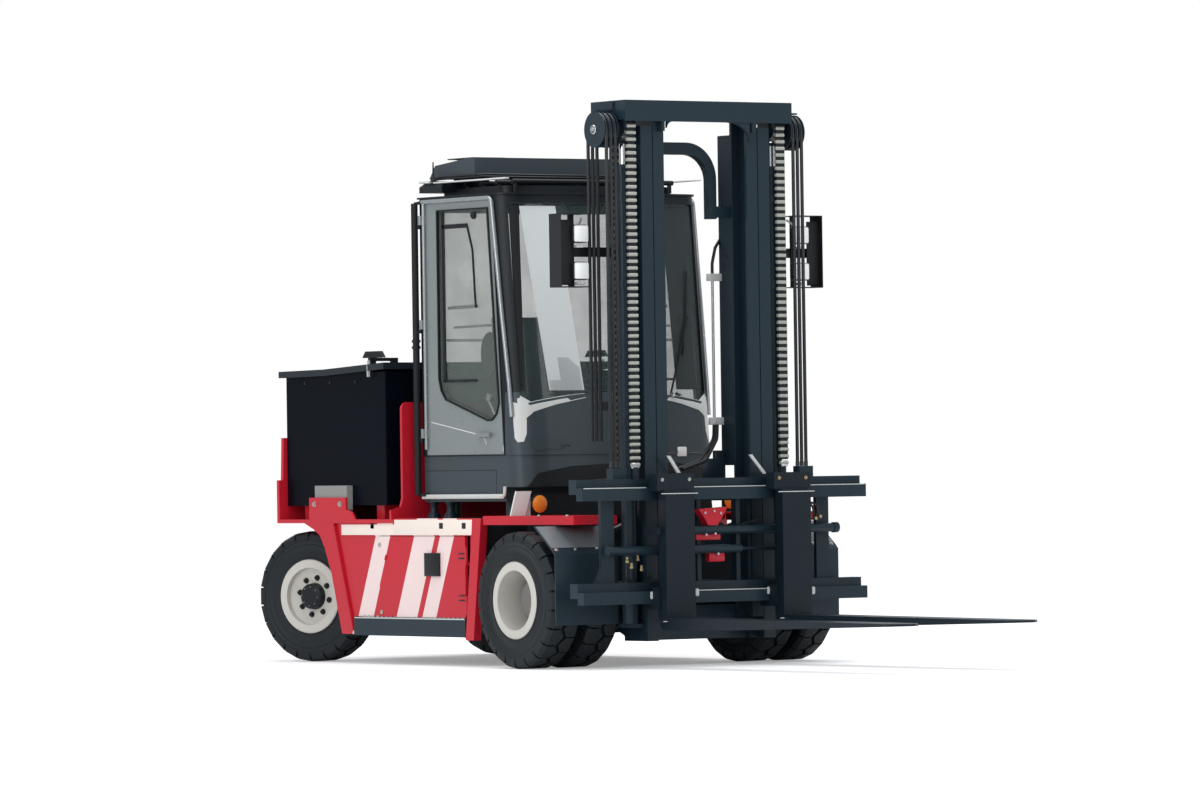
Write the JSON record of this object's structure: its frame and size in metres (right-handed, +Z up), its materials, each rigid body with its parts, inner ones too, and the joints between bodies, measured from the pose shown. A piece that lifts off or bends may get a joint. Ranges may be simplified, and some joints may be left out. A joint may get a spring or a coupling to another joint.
{
  "type": "counterbalance forklift",
  "caption": "Electric counterbalance forklift with a two-stage mast, fork positioner, enclosed cab, steered rear wheels and a traction battery behind the cab.",
  "frame": {"origin": "on the ground, in the middle of the length and width of the truck as it stands with its forks lowered", "axes": "+Z up, -Y the way the forks point, +X the left side of the truck"},
  "size_m": [2.198, 6.5174, 3.526],
  "materials": {
    "red_paint": "semi-gloss",
    "slate_paint": "satin",
    "silver_paint": "satin",
    "cab_grey": "satin",
    "roof_grey": "satin",
    "cream_paint": "semi-gloss",
    "battery_blue": "satin",
    "axle_paint": "matt",
    "tread_rubber": "matt",
    "clear_glass": "polished",
    "amber_lens": "glossy",
    "chrome_rod": "polished",
    "chain_steel": "oiled",
    "hose_rubber": "matt",
    "fork_steel": "satin",
    "trim_plastic": "matt"
  },
  "bodies": {
    "chassis": {"chassis_frame": "slate_paint", "body_sides": "red_paint", "battery_tray": "red_paint", "battery_clamps": "silver_paint", "counterweight": "axle_paint", "battery_box": "battery_blue", "side_steps": "slate_paint", "front_fenders": "slate_paint", "front_lamps": "amber_lens", "front_axle": "axle_paint", "rear_axle": "axle_paint", "cab_base": "cab_grey", "cab_frame": "silver_paint", "cab_cowl": "cab_grey", "cab_glass": "clear_glass", "cab_roof": "cab_grey", "air_unit": "roof_grey", "cab_interior": "trim_plastic"},
    "lid": {"battery_lid": "battery_blue"},
    "mast": {"mast_outer": "slate_paint", "lift_cylinders": "slate_paint", "work_lights": "trim_plastic"},
    "inner_mast": {"mast_inner": "slate_paint", "lift_rods": "chrome_rod", "mast_pulleys": "slate_paint", "lift_chains": "chain_steel", "mast_hoses": "hose_rubber"},
    "carriage": {"carriage_frame": "slate_paint", "fork_positioner": "slate_paint"},
    "tilt_cylinders": {"tilt_barrels": "slate_paint"},
    "tilt_pistons": {"tilt_rods": "chrome_rod"},
    "steering_cylinder_rod": {"steering_rod": "chrome_rod"},
    "fork_right": {"fork_right": "fork_steel"},
    "knuckle_right": {"knuckle_right": "axle_paint"},
    "rear_wheel_right": {"rear_tyre_right": "tread_rubber", "rear_rim_right": "cream_paint"},
    "front_wheel_right": {"front_tyres_right": "tread_rubber", "front_rims_right": "cream_paint"},
    "door_right": {"cab_door_right": "silver_paint", "door_glass_right": "clear_glass"},
    "hatch_right": {"side_hatch_right": "red_paint"},
    "fork_left": {"fork_left": "fork_steel"},
    "knuckle_left": {"knuckle_left": "axle_paint"},
    "rear_wheel_left": {"rear_tyre_left": "tread_rubber", "rear_rim_left": "cream_paint"},
    "front_wheel_left": {"front_tyres_left": "tread_rubber", "front_rims_left": "cream_paint"},
    "door_left": {"cab_door_left": "silver_paint", "door_glass_left": "clear_glass"},
    "hatch_left": {"side_hatch_left": "red_paint"}
  },
  "joints": [
    {"name": "mast_tilt", "type": "hinge", "parent": "chassis", "child": "mast", "pos_m": [0, -0.32469, 0.33], "axis": [1, 0, 0], "range_deg": [-10, 5]},
    {"name": "mast_lift", "type": "slide", "parent": "mast", "child": "inner_mast", "axis": [0, 0, 1], "range_m": [-0.11, 2]},
    {"name": "carriage_lift", "type": "slide", "parent": "inner_mast", "child": "carriage", "axis": [0, 0, 1], "range_m": [-0.11, 2], "deforming": ["lift_chains", "mast_hoses"]},
    {"name": "fork_right_slide", "type": "slide", "parent": "carriage", "child": "fork_right", "axis": [1, 0, 0], "range_m": [-0.5, 0.22]},
    {"name": "fork_left_slide", "type": "slide", "parent": "carriage", "child": "fork_left", "axis": [1, 0, 0], "range_m": [-0.22, 0.5]},
    {"name": "tilt_cylinder_swing", "type": "hinge", "parent": "chassis", "child": "tilt_cylinders", "pos_m": [0, 0.30531, 0.742], "axis": [1, 0, 0], "range_deg": [-2.5, 1.3]},
    {"name": "tilt_rod_slide", "type": "slide", "parent": "tilt_cylinders", "child": "tilt_pistons", "axis": [0, -0.9721, 0.2347], "range_m": [-0.098, 0.05]},
    {"name": "steer_right", "type": "hinge", "parent": "chassis", "child": "knuckle_right", "pos_m": [-0.65, 2.78331, 0.428], "axis": [0, 0, 1], "range_deg": [-75, 35]},
    {"name": "rear_wheel_right_spin", "type": "hinge", "parent": "knuckle_right", "child": "rear_wheel_right", "pos_m": [-0.76746, 2.74056, 0.428], "axis": [0.9397, 0.342, 0], "continuous": true},
    {"name": "front_wheel_right_spin", "type": "hinge", "parent": "chassis", "child": "front_wheel_right", "pos_m": [-0.838, -0.02469, 0.428], "axis": [1, 0, 0], "continuous": true},
    {"name": "door_right_hinge", "type": "hinge", "parent": "chassis", "child": "door_right", "pos_m": [-0.79, 1.44731, 2.15], "axis": [0, 0, -1], "range_deg": [0, 90]},
    {"name": "hatch_right_hinge", "type": "hinge", "parent": "chassis", "child": "hatch_right", "pos_m": [-0.948, 0.73231, 0.56], "axis": [0, 0, 1], "range_deg": [0, 100]},
    {"name": "steer_left", "type": "hinge", "parent": "chassis", "child": "knuckle_left", "pos_m": [0.65, 2.78331, 0.428], "axis": [0, 0, 1], "range_deg": [-75, 35]},
    {"name": "rear_wheel_left_spin", "type": "hinge", "parent": "knuckle_left", "child": "rear_wheel_left", "pos_m": [0.76746, 2.82606, 0.428], "axis": [0.9397, 0.342, 0], "continuous": true},
    {"name": "front_wheel_left_spin", "type": "hinge", "parent": "chassis", "child": "front_wheel_left", "pos_m": [0.838, -0.02469, 0.428], "axis": [1, 0, 0], "continuous": true},
    {"name": "door_left_hinge", "type": "hinge", "parent": "chassis", "child": "door_left", "pos_m": [0.79, 1.44731, 2.15], "axis": [0, 0, 1], "range_deg": [0, 90]},
    {"name": "hatch_left_hinge", "type": "hinge", "parent": "chassis", "child": "hatch_left", "pos_m": [0.948, 0.73231, 0.56], "axis": [0, 0, -1], "range_deg": [0, 100]},
    {"name": "steering_rod_slide", "type": "slide", "parent": "chassis", "child": "steering_cylinder_rod", "axis": [1, 0, 0], "range_m": [-0.06, 0.126]},
    {"name": "lid_hinge", "type": "hinge", "parent": "chassis", "child": "lid", "pos_m": [0, 2.96531, 1.863], "axis": [-1, 0, 0], "range_deg": [0, 70]}
  ],
  "couplings": [
    {"joint": "carriage_lift", "follows": "mast_lift", "ratio": 1},
    {"joint": "fork_left_slide", "follows": "fork_right_slide", "ratio": -1},
    {"joint": "tilt_cylinder_swing", "follows": "mast_tilt", "ratio": 0.235},
    {"joint": "tilt_rod_slide", "follows": "mast_tilt", "m_per_rad": 0.555},
    {"joint": "steer_left", "follows": "steer_right", "ratio": 1},
    {"joint": "steering_rod_slide", "follows": "steer_right", "m_per_rad": -0.095}
  ]
}
